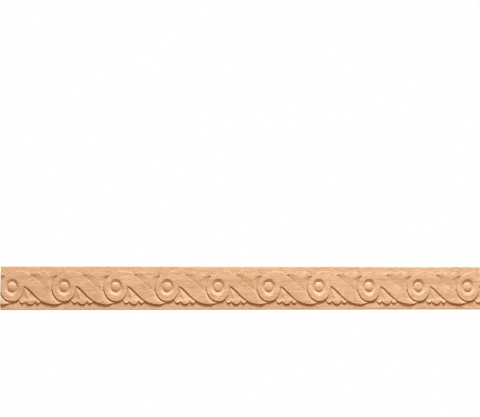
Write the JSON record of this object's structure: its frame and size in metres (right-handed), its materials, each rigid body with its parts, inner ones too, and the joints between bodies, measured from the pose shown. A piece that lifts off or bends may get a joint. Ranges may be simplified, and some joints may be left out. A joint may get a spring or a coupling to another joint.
{
  "type": "carved wood trim strip",
  "caption": "Flat wooden trim strip carved in low relief with a running scroll, a button eye in each turn and scalloped leaves, fixed by its flat back.",
  "frame": {"origin": "centre of the flat back face", "axes": "+X along the strip, +Y out of the back into what it is fixed to, +Z across the strip, up as shown; the carving faces -Y"},
  "size_m": [0.559, 0.004, 0.05],
  "materials": {
    "beech": "bare sanded beech, fine straight grain along the strip"
  },
  "bodies": {
    "root": {"carved_trim_strip": "beech"}
  },
  "joints": []
}
